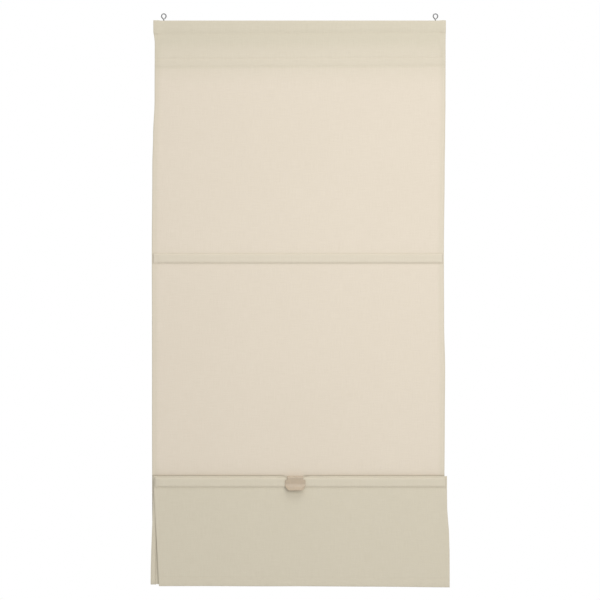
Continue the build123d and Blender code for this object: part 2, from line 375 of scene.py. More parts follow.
def hem_bulk(across, along):
    """Room that the side hems need where one layer of cloth lies behind another."""
    outer = ramp(np.abs(across), half_width - side_hem - 4 * mm, half_width - side_hem)
    behind = 1.4 * mm * (along < mark["back seam"])
    wrapped = (along >= mark["back seam"]) & (along < mark["head seam"])
    around = 0.6 * mm * wrapped
    hemmed = 1.5 * mm * (along > mark["flap end"])
    return outer * (behind + around + hemmed)


slack = -float(belly(0.0, (panel_rows[1] + pocket_rows[0]) / 2))
print(f"slack half way between ribs 1 and 2: {slack / mm:.2f} mm")

# %% [markdown]
# The head seam and rib 1's pocket were not sewn quite level: their rows on the face of the cloth
# climb to the right by 3 mm over the width. The slope fades out above and below them.

# %% Rows that run askew
def row_climb(across, along):
    """How far the face of the cloth is moved up between the head and rib 1."""
    climb = 1.5 * mm                # at each side edge, down on the left and up on the right
    from_top = ramp(along, mark["batten front"] + 3 * mm, mark["head low"])
    to_panel = 1 - ramp(along, panel_rows[1] + 8 * mm, panel_rows[1] + 80 * mm)
    return climb * across / half_width * from_top * to_panel


# %% [markdown]
# Under the clip the fold is pressed down. The dip is as wide as the clip's neck, and the fold
# climbs back to its full height on both sides.

# %% The dip in the fold
neck_width = 33 * mm
dip_depth = 3 * mm


def fold_dip(x, along):
    """How far a point of the fold is pressed down by the clip."""
    near_clip = bump(x, clip_x, neck_width / 2 + 1 * mm, 14 * mm)
    middle = (mark["fold in"] + mark["fold out"]) / 2
    near_fold = bump(along, middle, 3.5 * mm, 9 * mm)
    return dip_depth * near_clip * near_fold


fold_middle = (mark["fold in"] + mark["fold out"]) / 2
print(f"dip under the clip: {fold_dip(clip_x, fold_middle) / mm:.1f} mm")

# %% [markdown]
# `on_cloth` puts it all together. It gives the point of the cloth at any `across` and `along`,
# lifted towards its face, so the sheet and its stitches come from one and the same shape.

# %% One function for every point of the cloth
def route_at(along):
    """Height, depth and facing of the route at a length along it."""
    y = np.interp(along, route_along, route[:, 0])
    z = np.interp(along, route_along, route[:, 1])
    slope = np.gradient(route, route_along, axis=0)
    facing_y = np.interp(along, route_along, slope[:, 1])
    facing_z = np.interp(along, route_along, -slope[:, 0])
    length = np.hypot(facing_y, facing_z)
    return y, z, facing_y / length, facing_z / length


def on_cloth(across, along, lift=0.0):
    """Points (x, y, z) on the cloth, as an array whose last axis holds the coordinates."""
    across, along, lift = np.broadcast_arrays(across, along, lift)
    y, z, facing_y, facing_z = route_at(along)
    left, right = edges(along)
    share = (across + half_width) / (2 * half_width)
    x = left + (right - left) * share
    offset = seam_shape(across, along) + belly(across, along) + flap_waves(across, along)
    offset = offset + edge_curl(across, along) + hem_bulk(across, along) + lift
    corner_drop = 2.5 * mm          # the flap's right corner hangs lower than its left one
    low_corner = corner_drop * share ** 3 * ramp(along, mark["flap start"], mark["flap end"])
    raised = row_climb(across, along) - fold_dip(x, along) - low_corner
    return np.stack([x, y + facing_y * offset, z + facing_z * offset + raised], axis=-1)


flap_corner = on_cloth(half_width, mark["flap end"])
print("lower right corner of the flap:", [round(float(value), 4) for value in flap_corner])

# %% [markdown]
# ## The sheet
#
# The sheet is a grid. Its columns run from one raw edge to the other: in from the left hem,
# round the turned edge, across, round the right edge and back in. Its rows follow the route,
# close together at bends and seams and wider apart on straight runs. Solidify then gives it
# the thickness of cotton cloth.

# %% Columns and rows of the grid
def grid_columns():
    """Pairs of place across the blind and lift, where a hem's second layer has a negative lift."""
    inner = half_width - side_hem
    spacing = 4.7 * mm
    across = np.linspace(-inner, inner, round(2 * inner / spacing) + 1)
    turn = half_width - hem_step / 2
    face = [(inner + 3.5 * mm, 0), (inner + 7 * mm, 0), (turn, 0)]
    rounding = [(half_width - 0.1 * mm, -0.2 * hem_step), (half_width, -0.5 * hem_step)]
    rounding += [(half_width - 0.1 * mm, -0.8 * hem_step), (turn, -hem_step)]
    behind = [(inner + 5 * mm, -hem_step), (inner, -hem_step)]
    right = face + rounding + behind
    left = [(-x, lift) for x, lift in reversed(right)]
    return left + [(x, 0) for x in across] + right


def grid_rows():
    """Lengths along the route at which the grid has a row of points."""
    slope = np.gradient(route, route_along, axis=0)
    heading = np.unwrap(np.arctan2(slope[:, 1], slope[:, 0]))
    longest = 9.5 * mm
    bend = radians(20)
    cost = np.diff(route_along) / longest + np.abs(np.diff(heading)) / bend
    reached = np.concatenate([[0], np.cumsum(cost)])
    plain = np.interp(np.linspace(0, reached[-1], ceil(reached[-1]) + 1), reached, route_along)
    beside = np.array([-5, -2.5, -1, 0, 1, 2.5, 5]) * mm
    fine_rows = [mark["head seam"], *panel_rows, hem_row, down_panel(top_z - fold_z)]
    extra = np.concatenate([row + beside for row in fine_rows])
    rows = np.sort(np.concatenate([plain, extra]))
    keep = np.concatenate([[True], np.diff(rows) > 0.15 * mm])
    return rows[keep]


columns = np.array(grid_columns())
rows = grid_rows()
print(f"{len(rows)} rows of {len(columns)} points")

# %% [markdown]
# Three helpers make a mesh from a grid of points, put it into the scene and give it a thickness.
# Each piece's object stays at the origin, with its place in its mesh, like the pieces of the
# solid model.

# %% Make meshes and objects
def grid_mesh(name, points):
    """Mesh of quads from an array of rows, columns and coordinates."""
    count_rows, count_columns = points.shape[:2]
    index = np.arange(count_rows * count_columns).reshape(count_rows, count_columns)
    quads = np.stack([index[:-1, :-1], index[:-1, 1:], index[1:, 1:], index[1:, :-1]], axis=-1)
    mesh = bpy.data.meshes.new(name)
    mesh.from_pydata(points.reshape(-1, 3).tolist(), [], quads.reshape(-1, 4).tolist())
    return mesh


def add_piece(name, mesh, body):
    """Puts a mesh into the scene, smooth, riding on a body of the model."""
    mesh.shade_smooth()
    piece = bpy.data.objects.new(name, mesh)
    bpy.context.scene.collection.objects.link(piece)
    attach(piece, body)
    return piece


def give_thickness(piece, thickness):
    """Solidify, half to each side of the middle surface."""
    shell = piece.modifiers.new("thickness", "SOLIDIFY")
    shell.thickness = thickness
    shell.offset = 0


# %% [markdown]
# The weave has to follow the cloth, so the sheet gets a UV map whose two axes are `across` and
# `along`, divided by `uv_span` to stay between 0 and 1. Two attributes go with it, and both hold
# painted light and shade. `layers` says where more cloth lies behind: there less light comes
# through, so the colour is painted a shade darker, and it also holds painted shade near the head,
# below the turned-over end and at the turned side edges. The second attribute marks a thin line
# of painted shade where the panel goes in behind the fold.

# %% Cloth coordinates and layers
uv_span = 2.0                       # metres covered by the whole UV square


def add_cloth_uv(mesh, across, along):
    """UV map in cloth coordinates, from one pair of lengths for each vertex."""
    layer = mesh.uv_layers.new(name="cloth")
    vertex = np.zeros(len(mesh.loops), dtype=np.int32)
    mesh.loops.foreach_get("vertex_index", vertex)
    pairs = np.stack([across / uv_span + 0.5, along / uv_span], axis=-1)[vertex]
    layer.uv.foreach_set("vector", pairs.ravel().astype(np.float32))


def add_numbers(mesh, name, values):
    """A named attribute with one number for each vertex."""
    attribute = mesh.attributes.new(name, "FLOAT", "POINT")
    attribute.data.foreach_set("value", np.asarray(values, dtype=np.float32).ravel())


def layers_and_painted_shade(across, along):
    """Painted darkening: 0 for one layer alone, to 1 at the top, side edges and below the fold."""
    turning_end = down_panel(turning_drop)
    folded_from = down_panel(top_z - fold_z)
    # Near the head and below the turned-over end, painted shade joins the layers and fades out down
    # the panel.
    head_layers_and_shade = 1 - ramp(along, down_panel(40 * mm), down_panel(66 * mm))
    doubled = 1 - ramp(along, turning_end, turning_end + 4 * mm)
    painted_shade_below_turning = 1 - ramp(along, turning_end, turning_end + 45 * mm)
    head = 0.35 * head_layers_and_shade + 0.35 * doubled + 0.3 * painted_shade_below_turning
    folded = ramp(along, folded_from - 1 * mm, folded_from + 3 * mm)
    out = np.abs(across)
    hem = ramp(out, half_width - side_hem - 1 * mm, half_width - side_hem + 1 * mm)
    # The outermost turn of each side hem gets painted shade.
    rim = ramp(out, half_width - 2.5 * mm, half_width - 0.5 * mm)
    return np.minimum(np.maximum(head, folded) + 0.4 * hem + 0.6 * rim, 1)


def painted_crease_shade(across, along):
    """Painted darkening: 1 on the line where the panel goes in behind the fold."""
    painted_crease = down_panel(top_z - fold_z)
    beside_clip = 1 - bump(across, clip_x, 17 * mm, 8 * mm)
    return beside_clip * bump(along, painted_crease, 0.6 * mm, 1.0 * mm)


# %% [markdown]
# Now the sheet itself.

# %% Build the sheet
across_grid = np.broadcast_to(columns[:, 0], (len(rows), len(columns)))
lift_grid = np.broadcast_to(columns[:, 1], across_grid.shape)
along_grid = np.broadcast_to(rows[:, None], across_grid.shape)
cloth_mesh = grid_mesh("cloth_sheet", on_cloth(across_grid, along_grid, lift_grid))
add_cloth_uv(cloth_mesh, across_grid.ravel(), along_grid.ravel())
add_numbers(cloth_mesh, "layers", layers_and_painted_shade(across_grid, along_grid))
add_numbers(cloth_mesh, "painted_crease", painted_crease_shade(across_grid, along_grid))
cloth_sheet = add_piece("cloth_sheet", cloth_mesh, "blind")
give_thickness(cloth_sheet, cloth_thick)
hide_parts("cloth_panel")
print("cloth sheet:", len(cloth_mesh.vertices), "points")

# %% [markdown]
# ## Geometry Nodes for what repeats
#
# Pocket strips and stitches repeat along the ribs and seams, so each is a small geometry node
# tree with named inputs. `Nodes` is a short way to add nodes and links to any tree: a value is
# either a number or an output of another node. The materials use it too.

# %% A helper for node trees
class Nodes:
    """Adds nodes to a tree and links them."""

    def __init__(self, tree):
        self.tree = tree

    def add(self, kind, inputs=None, **settings):
        """New node with its settings, and its inputs set or linked."""
        node = self.tree.nodes.new(kind)
        for key, value in settings.items():
            setattr(node, key, value)
        for key, value in (inputs or {}).items():
            self.set(node.inputs[key], value)
        return node

    def set(self, socket, value):
        """Links an output to the socket, or gives it a plain value."""
        if isinstance(value, bpy.types.NodeSocket):
            self.tree.links.new(value, socket)
        else:
            socket.default_value = value

    def math(self, operation, *values):
        """Output of a math node."""
        node = self.add("ShaderNodeMath", operation=operation)
        for socket, value in zip(node.inputs, values):
            self.set(socket, value)
        return node.outputs[0]

    def ramp(self, value, start, end, top=1.0, kind="LINEAR"):
        """0 at start and top at end, held at these beyond them."""
        return self.add(
            "ShaderNodeMapRange",
            {"Value": value, "From Min": start, "From Max": end, "To Max": top},
            interpolation_type=kind,
        ).outputs[0]

    def vector(self, x, y, z):
        """Three numbers as one vector."""
        return self.add("ShaderNodeCombineXYZ", {"X": x, "Y": y, "Z": z}).outputs[0]

    def parts(self, vector):
        """The three numbers of a vector, as outputs named X, Y and Z."""
        return self.add("ShaderNodeSeparateXYZ", {0: vector}).outputs

    def noise(self, vector, scale, detail, roughness=0.5, distortion=0.0):
        """Noise from 0 to 1."""
        return self.add(
            "ShaderNodeTexNoise",
            {"Vector": vector, "Scale": scale, "Detail": detail, "Roughness": roughness,
             "Distortion": distortion},
        ).outputs[0]


def new_tree(name, kind, inputs, outputs):
    """Node group with named inputs and outputs, given as name: (socket type, default)."""
    tree = bpy.data.node_groups.new(name, kind)
    for side, sockets in (("INPUT", inputs), ("OUTPUT", outputs)):
        for title, (socket_type, default) in sockets.items():
            socket = tree.interface.new_socket(
                name=title, in_out=side, socket_type=f"NodeSocket{socket_type}"
            )
            if default is not None:
                socket.default_value = default
    nodes = Nodes(tree)
    entry = nodes.add("NodeGroupInput")
    result = nodes.add("NodeGroupOutput")
    return tree, nodes, entry, result


def run_tree(name, mesh, tree, values):
    """Runs a geometry node tree on a mesh and gives the result as a plain mesh."""
    source = bpy.data.objects.new(name + "_source", mesh)
    bpy.context.scene.collection.objects.link(source)
    modifier = source.modifiers.new("tree", "NODES")
    modifier.node_group = tree
    identifiers = {
        item.name: item.identifier
        for item in tree.interface.items_tree
        if item.in_out == "INPUT"
    }
    for title, value in values.items():
        modifier[identifiers[title]] = value
    depsgraph = bpy.context.evaluated_depsgraph_get()
    made = bpy.data.meshes.new_from_object(source.evaluated_get(depsgraph))
    made.name = name
    source.modifiers.remove(modifier)
    bpy.data.objects.remove(source)
    return made


# %% [markdown]
# ## Pocket strips
#
# Ribs 2, 3 and 4 lie under strips of the same cloth. A strip's long edges are turned under and
# sewn down, and in between it stands over the slat. Its side view is a short line, and the
# tree repeats that line across the blind. Beyond the slat's ends the strip settles down on the
# cloth. At the clip, rib 3's strip is left unsewn along its upper edge: there the tree pulls
# that edge forward, and the clip's leg goes in behind it.

# %% Side view of a strip
strip_thick = 0.42 * mm
strip_edge = 10.75 * mm             # from a rib's middle to the strip's turned edge
strip_step = 0.44 * mm              # from the turned-under layer to the outer one
strip_sink = 0.15 * mm              # how far the stitches pull the strip in
strip_row = 9.6 * mm                # from a rib's middle to the stitches that hold the strip
raw_edge = row_rise - 1.2 * mm      # from a rib's middle to the end of the turned-under layer
slat_play = 0.15 * mm               # between the slat's face and the strip over it


def strip_line(number):
    """Points (y, z) of a strip's middle line, from its lower raw edge to its upper one."""
    seat = strips[number][1][1] + (0 if number == 3 else seam_sink)
    under_y = seat - strip_thick / 2
    outer_y = under_y - strip_step
    over_y = slats[number][0][1] - slat_play - strip_thick / 2
    half_slat = slats[number][1][2] - rib_z[number]
    middle = rib_z[number]
    turn = strip_step / 2 - hair
    soft = 1.0 * mm
    lower = [
        ("raw edge", under_y, middle - raw_edge, 0),
        ("under turn", under_y, middle - strip_edge, turn),
        ("outer turn", outer_y, middle - strip_edge, turn),
        ("row", outer_y + strip_sink, middle - strip_row, 0.6 * soft),
        ("slat edge", over_y, middle - half_slat - 0.1 * mm, 1.5 * soft),
    ]
    upper = [(name, y, 2 * middle - z, radius) for name, y, z, radius in reversed(lower)]
    return rounded_line(lower + upper, arc_step=radians(30), longest=2.2 * mm)


print("a strip's side view has", len(strip_line(2)[0]), "points")

# %% [markdown]
# The tree sets up a grid, and each of its rows takes depth and height from one point of the side
# view. A curve with a profile would give the same plain strip, but on a grid the mouth, the
# settled ends and a faint ripple are simple sums.

# %% The tree that repeats it
def strip_tree():
    """A strip of cloth with the given side view, from its left end to its right end."""
    tree, nodes, entry, result = new_tree(
        "sewn_strip",
        "GeometryNodeTree",
        {
            "Side View": ("Geometry", None),
            "Left End": ("Float", -0.29),
            "Right End": ("Float", 0.29),
            "Columns": ("Int", 120),
            "Points": ("Int", 30),
            "Middle Height": ("Float", 0.0),
            "Seat Depth": ("Float", 0.0),
            "Slat End": ("Float", 0.288),
            "Mouth Centre": ("Float", 0.0),
            "Mouth Width": ("Float", 0.04),
            "Mouth Pull": ("Float", 0.0),
            "Ripple": ("Float", 0.0),
            "Seed": ("Float", 0.0),
            "Finish": ("Material", None),
        },
        {"Strip": ("Geometry", None)},
    )
    ins = entry.outputs
    grid = nodes.add(
        "GeometryNodeMeshGrid",
        {"Size X": 1.0, "Size Y": 1.0, "Vertices X": ins["Columns"], "Vertices Y": ins["Points"]},
    )
    index = nodes.add("GeometryNodeInputIndex").outputs[0]
    row = nodes.math("FLOORED_MODULO", index, ins["Points"])
    place = nodes.add("GeometryNodeInputPosition").outputs[0]
    share = nodes.math("ADD", nodes.parts(place)["X"], 0.5)
    width = nodes.math("SUBTRACT", ins["Right End"], ins["Left End"])
    x = nodes.math("MULTIPLY_ADD", share, width, ins["Left End"])
    sample = nodes.add(
        "GeometryNodeSampleIndex",
        {"Geometry": ins["Side View"], "Value": place, "Index": row},
        data_type="FLOAT_VECTOR",
        domain="POINT",
    )
    side = nodes.parts(sample.outputs["Value"])
    depth, height = side["Y"], side["Z"]

    from_mouth = nodes.math("ABSOLUTE", nodes.math("SUBTRACT", x, ins["Mouth Centre"]))
    half_mouth = nodes.math("MULTIPLY", ins["Mouth Width"], 0.5)
    mouth_edge = nodes.math("ADD", half_mouth, 6 * mm)
    inside = nodes.ramp(from_mouth, mouth_edge, half_mouth, kind="SMOOTHSTEP")
    rise = nodes.math("SUBTRACT", height, ins["Middle Height"])
    upper = nodes.ramp(rise, 6.5 * mm, 9 * mm, kind="SMOOTHSTEP")
    pull = nodes.math("MULTIPLY", nodes.math("MULTIPLY", inside, upper), ins["Mouth Pull"])

    waves = nodes.noise(nodes.vector(x, ins["Seed"], height), scale=55.0, detail=1.0)
    ripple = nodes.math("MULTIPLY", nodes.math("SUBTRACT", waves, 0.5), ins["Ripple"])

    slat_left = nodes.math("MULTIPLY", ins["Slat End"], -1.0)
    at_left = nodes.ramp(x, ins["Left End"], slat_left)
    at_right = nodes.ramp(x, ins["Right End"], ins["Slat End"])
    open_share = nodes.math("MINIMUM", at_left, at_right)
    closed = nodes.math("MAXIMUM", depth, ins["Seat Depth"])
    standing = nodes.math("SUBTRACT", depth, closed)
    settled = nodes.math("MULTIPLY_ADD", standing, open_share, closed)
    y = nodes.math("SUBTRACT", nodes.math("ADD", settled, ripple), pull)
    moved = nodes.add(
        "GeometryNodeSetPosition",
        {"Geometry": grid.outputs["Mesh"], "Position": nodes.vector(x, y, height)},
    )
    real = nodes.add("GeometryNodeRealizeInstances", {"Geometry": moved.outputs[0]})
    finished = nodes.add(
        "GeometryNodeSetMaterial", {"Geometry": real.outputs[0], "Material": ins["Finish"]}
    )
    nodes.set(result.inputs["Strip"], finished.outputs[0])
    return tree


strip_maker = strip_tree()
print("tree:", strip_maker.name, "with", len(strip_maker.nodes), "nodes")

# %% [markdown]
# ## Shared surface effects
#
# Three effects are used by more than one material, so each is a shader node group: `weave` for
# everything made of the cotton, `grain` for fine surface roughness, and `wear` for the soft
# clouding that handling and dust leave. Groups hand out only values that change over the
# surface. The shaders themselves stay in the materials.
#
# In a plain weave each yarn goes over one and under the next. Two sine waves at right angles
# give the yarns, and the sign of their product says which of the two lies on top. An image of
# cloth could do this, but it would repeat, and a formula never does.

# %% Weave
def weave_group():
    """Plain weave: over and under at every crossing, with uneven yarns and long slubs."""
    tree, nodes, entry, result = new_tree(
        "weave",
        "ShaderNodeTree",
        {
            "Vector": ("Vector", (0.0, 0.0, 0.0)),
            "Yarn Pitch": ("Float", 0.0006),
            "Unevenness": ("Float", 0.3),
            "Slub Length": ("Float", 0.03),
        },
        {"Height": ("Float", 0.0), "Tint": ("Float", 0.0), "Slubs": ("Float", 0.0)},
    )
    ins = entry.outputs
    per_metre = nodes.math("DIVIDE", 1.0, ins["Yarn Pitch"])
    wander = nodes.math("SUBTRACT", nodes.noise(ins["Vector"], scale=420.0, detail=2.0), 0.5)
    farthest = nodes.math("MULTIPLY", ins["Unevenness"], ins["Yarn Pitch"])
    shift = nodes.math("MULTIPLY", wander, farthest)
    place = nodes.parts(ins["Vector"])
    waves = []
    for axis in ("X", "Y"):
        turns = nodes.math("MULTIPLY", nodes.math("ADD", place[axis], shift), per_metre)
        waves.append(nodes.math("SINE", nodes.math("MULTIPLY", turns, pi)))
    over = nodes.math("GREATER_THAN", nodes.math("MULTIPLY", *waves), 0.0)
    flat_x, flat_y = [nodes.math("POWER", nodes.math("ABSOLUTE", wave), 0.4) for wave in waves]
    steep_x, steep_y = [nodes.math("ABSOLUTE", wave) for wave in waves]
    warp = nodes.math("MULTIPLY", steep_x, flat_y)
    weft = nodes.math("MULTIPLY", flat_x, steep_y)
    crossing = nodes.math("MULTIPLY_ADD", over, nodes.math("SUBTRACT", warp, weft), weft)

    across_yarn = 850.0             # slubs to the metre across the yarns
    along_yarn = nodes.math("DIVIDE", 1.0, ins["Slub Length"])
    slubs = []
    for x_scale, y_scale in ((along_yarn, across_yarn), (across_yarn, along_yarn)):
        stretched = nodes.add(
            "ShaderNodeMapping",
            {"Vector": ins["Vector"], "Scale": nodes.vector(x_scale, y_scale, 0.0)},
        ).outputs[0]
        slubs.append(nodes.noise(stretched, scale=1.0, detail=2.0, roughness=0.6))
    slub = nodes.math("MULTIPLY", nodes.math("ADD", *slubs), 0.5)
    nodes.set(result.inputs["Height"], nodes.math("MULTIPLY_ADD", slub, 0.8, crossing))
    nodes.set(result.inputs["Tint"], crossing)
    nodes.set(result.inputs["Slubs"], slub)
    return tree


# %% [markdown]
# `grain` is noise, finer or coarser by its scale, and a stretched `Vector` turns it into lines.
# `wear` is cloudy noise cut to soft patches.

# %% Grain and wear
def grain_group():
    """Fine uneven surface, stretched by the Vector that it is given."""
    tree, nodes, entry, result = new_tree(
        "grain",
        "ShaderNodeTree",
        {"Vector": ("Vector", (0.0, 0.0, 0.0)), "Scale": ("Float", 2000.0),
         "Detail": ("Float", 3.0)},
        {"Value": ("Float", 0.0)},
    )
    ins = entry.outputs
    fine = nodes.noise(ins["Vector"], ins["Scale"], ins["Detail"], roughness=0.55)
    nodes.set(result.inputs["Value"], fine)
    return tree


def wear_group():
    """Soft clouds with a few stronger patches, from 0 for clean to 1 for worn."""
    tree, nodes, entry, result = new_tree(
        "wear",
        "ShaderNodeTree",
        {"Vector": ("Vector", (0.0, 0.0, 0.0)), "Scale": ("Float", 8.0),
         "Amount": ("Float", 0.5)},
        {"Mask": ("Float", 0.0)},
    )
    ins = entry.outputs
    clouds = nodes.noise(ins["Vector"], ins["Scale"], 4.0, roughness=0.62, distortion=0.4)
    patches = nodes.ramp(clouds, 0.35, 0.75, kind="SMOOTHSTEP")
    nodes.set(result.inputs["Mask"], nodes.math("MULTIPLY", patches, ins["Amount"]))
    return tree


weave = weave_group()
grain = grain_group()
wear = wear_group()
print("shader groups:", weave.name, grain.name, wear.name)

# %% [markdown]
# ## Materials
#
# Small helpers start a material, place a shared effect in it, blend colours and link the results
# to its Principled BSDF. Numbers that are the same all over a surface are set straight on the
# shader.

# %% Helpers for materials
def start_material(name, roughness, specular=0.5, metallic=0.0):
    """New material with a Principled BSDF; roughness is the mean where nodes vary it."""
    material = bpy.data.materials.new(name)
    material.use_nodes = True
    material.node_tree.nodes.clear()
    nodes = Nodes(material.node_tree)
    shader = nodes.add(
        "ShaderNodeBsdfPrincipled",
        {"Roughness": roughness, "Specular IOR Level": specular, "Metallic": metallic},
    )
    nodes.add("ShaderNodeOutputMaterial", {"Surface": shader.outputs[0]})
    return material, nodes, shader


def place_group(nodes, tree, **inputs):
    """A shader group with its inputs set; an underscore in a name stands for a space."""
    group = nodes.add("ShaderNodeGroup", node_tree=tree)
    for key, value in inputs.items():
        nodes.set(group.inputs[key.replace("_", " ")], value)
    return group.outputs


def blend_colours(nodes, share, first, second):
    """Mix of two colours, each a plain colour or an output."""
    mix = nodes.add("ShaderNodeMix", data_type="RGBA")
    colour_inputs = [socket for socket in mix.inputs if socket.type == "RGBA"]
    nodes.set(mix.inputs[0], share)
    nodes.set(colour_inputs[0], first)
    nodes.set(colour_inputs[1], second)
    return next(socket for socket in mix.outputs if socket.type == "RGBA")


def link_surface(nodes, shader, colour, height, depth, rough=None, strength=1.0):
    """Links colour, a bump of the given real depth and, where it varies, roughness."""
    nodes.set(shader.inputs["Base Color"], colour)
    if rough is not None:
        nodes.set(shader.inputs["Roughness"], rough)
    bumps = nodes.add("ShaderNodeBump", {"Height": height, "Distance": depth, "Strength": strength})
    nodes.set(shader.inputs["Normal"], bumps.outputs[0])


def object_place(nodes, stretch=None):
    """Place on the piece in metres, stretched where a pattern runs along it."""
    place = nodes.add("ShaderNodeTexCoord").outputs["Object"]
    if stretch is None:
        return place
    return nodes.add("ShaderNodeMapping", {"Vector": place, "Scale": stretch}).outputs[0]


# %% [markdown]
# ### Unbleached cotton
#
# The cloth is a plain weave, about 17 yarns to the centimetre, in a warm off-white. The light
# that comes through it is painted into the colour: where one layer hangs alone it is painted
# lighter and warmer, where layers lie on each other it is painted darker and a touch greener, and
# `layers` mixes between the two. Natural cotton has slubs and tiny darker flecks of seed husk,
# which the tints and the fleck mask bring in, and the gaps between the yarns get a little painted
# shade. Last comes a thin dark line of painted shade above the fold, where the panel goes in behind
# it.

# %% Cotton
def cotton_material():
    """Plain-woven unbleached cotton."""
    material, nodes, shader = start_material("unbleached_cotton", roughness=0.88, specular=0.25)
    uv = nodes.add("ShaderNodeUVMap", uv_map="cloth")
    metres = nodes.add(
        "ShaderNodeMapping",
        {"Vector": uv.outputs[0], "Scale": (uv_span, uv_span, uv_span)},
    ).outputs[0]
    layers = nodes.add("ShaderNodeAttribute", attribute_name="layers").outputs["Fac"]
    woven = place_group(nodes, weave, Vector=metres, Yarn_Pitch=0.0006, Unevenness=0.5,
                        Slub_Length=0.028)
    clouds = place_group(nodes, wear, Vector=metres, Scale=7.0, Amount=0.5)

    # Painted light: one layer alone shows the light through it, lighter and warmer; where layers
    # lie behind, the colour is painted darker and a touch greener.
    painted_lit_through = (0.830, 0.744, 0.622, 1)
    painted_layered_shade = (0.728, 0.669, 0.537, 1)
    tone_and_shade_factor = (0.90, 0.885, 0.855, 1)
    husk = (0.52, 0.42, 0.28, 1)
    painted_crease_colour = (0.42, 0.36, 0.27, 1)
    base = blend_colours(nodes, layers, painted_lit_through, painted_layered_shade)
    # A darker copy of the base: the slubs and the soil use it as real tone, and the yarn gaps use
    # it as painted shade.
    darker_and_shaded = blend_colours(nodes, 1.0, base, tone_and_shade_factor)
    darker_and_shaded.node.blend_type = "MULTIPLY"
    slub_share = nodes.ramp(woven["Slubs"], 0.40, 0.62)
    streaked = blend_colours(nodes, nodes.math("MULTIPLY", slub_share, 0.45), base, darker_and_shaded)
    # Painted shade in the gaps between the yarns: the lower the yarn, the darker.
    gap_shade_share = nodes.math("MULTIPLY", nodes.math("SUBTRACT", 1.0, woven["Tint"]), 0.30)
    yarns = blend_colours(nodes, gap_shade_share, streaked, darker_and_shaded)
    soiled = blend_colours(nodes, nodes.math("MULTIPLY", clouds["Mask"], 0.18), yarns, darker_and_shaded)
    flecks = nodes.add(
        "ShaderNodeTexVoronoi",
        {"Vector": metres, "Scale": 95.0, "Randomness": 1.0},
        feature="F1",
    ).outputs["Distance"]
    fleck_share = nodes.ramp(flecks, 0.055, 0.03, top=0.35)
    flecked = blend_colours(nodes, fleck_share, soiled, husk)
    # A thin dark line of painted shade where the panel goes in behind the fold.
    painted_crease = nodes.add("ShaderNodeAttribute", attribute_name="painted_crease").outputs["Fac"]
    painted_crease_share = nodes.math("MULTIPLY", painted_crease, 0.7)
    colour = blend_colours(nodes, painted_crease_share, flecked, painted_crease_colour)
    rough = nodes.math("MULTIPLY_ADD", woven["Tint"], -0.08, 0.92)
    link_surface(nodes, shader, colour, woven["Height"], 0.16 * mm, rough, strength=0.7)
    shader.inputs["Sheen Weight"].default_value = 0.12
    shader.inputs["Sheen Roughness"].default_value = 0.6
    return material


cotton = cotton_material()
cloth_mesh.materials.append(cotton)
print("made", cotton.name)

# %% [markdown]
# The strips run nearly from edge to edge, so each takes its ends from the cloth's own edges at
# its rib. Rib 4's strip lies on the front flap, below the fold.

# %% Build the three strips
strip_columns = 300
strip_inset = 2.5 * mm              # from the cloth's edge to the strip's end
mouth_width = neck_width + 10 * mm
mouth_pull = 4.2 * mm
# Painted shade on each strip, for the light that the cloth and the slat under it hold back.
painted_strip_shade = {2: 0.5, 3: 0.9, 4: 0.9}
pocket_strips = {}


def rib_along(number):
    """Length along the route at a rib's middle."""
    if number == 4:
        return mark["fold out"] + fold_z - rib_z[4]
    return down_panel(top_z - rib_z[number])


def chain_mesh(points):
    """Mesh of edges from one point to the next."""
    mesh = bpy.data.meshes.new("side_view")
    links = [(i, i + 1) for i in range(len(points) - 1)]
    mesh.from_pydata([(0, y, z) for y, z in points], links, [])
    return mesh


for number in (2, 3, 4):
    side_view, side_along, _ = strip_line(number)
    left, right = [float(edge) for edge in edges(np.array(rib_along(number)))]
    left_end = left + strip_inset
    right_end = right - strip_inset
    seat_y = strips[number][1][1]
    strip_mesh = run_tree(
        f"pocket_strip_{number}",
        chain_mesh(side_view),
        strip_maker,
        {
            "Left End": left_end,
            "Right End": right_end,
            "Columns": strip_columns,
            "Points": len(side_view),
            "Middle Height": float(rib_z[number]),
            "Seat Depth": float(seat_y - strip_thick / 2 - strip_step),
            "Slat End": float(slats[number][1][0]) + 0.4 * mm,
            "Mouth Centre": clip_x,
            "Mouth Width": mouth_width,
            "Mouth Pull": mouth_pull if number == 3 else 0.0,
            "Ripple": 0.15 * mm,
            "Seed": float(number),
            "Finish": cotton,
        },
    )
    across_strip = np.array([vertex.co.x for vertex in strip_mesh.vertices])
    weave_start = 0.1 * number      # no two strips show the same stretch of weave
    along_strip = np.tile(side_along, strip_columns) + weave_start
    add_cloth_uv(strip_mesh, across_strip, along_strip)
    add_numbers(strip_mesh, "layers", np.full(len(across_strip), painted_strip_shade[number]))
    strip = add_piece(f"pocket_strip_{number}", strip_mesh, "blind")
    give_thickness(strip, strip_thick)
    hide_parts(f"rib_pocket_{number}")
    pocket_strips[number] = strip
    print(strip.name, len(strip_mesh.vertices), "points, cut", round(side_along[-1] / mm, 1), "mm")

# %% [markdown]
# ## Stitches
#
# A sewing machine leaves a row of short, slightly sunken bars of thread on both faces of the
# cloth. The rows are lines laid on the cloth with `on_cloth`, and the tree sets one small bar
# on each point of a line, spaced by the stitch length, tilted a little at random. A strip's
# rows end in a few stitches back over themselves, so each gets a short second line there.

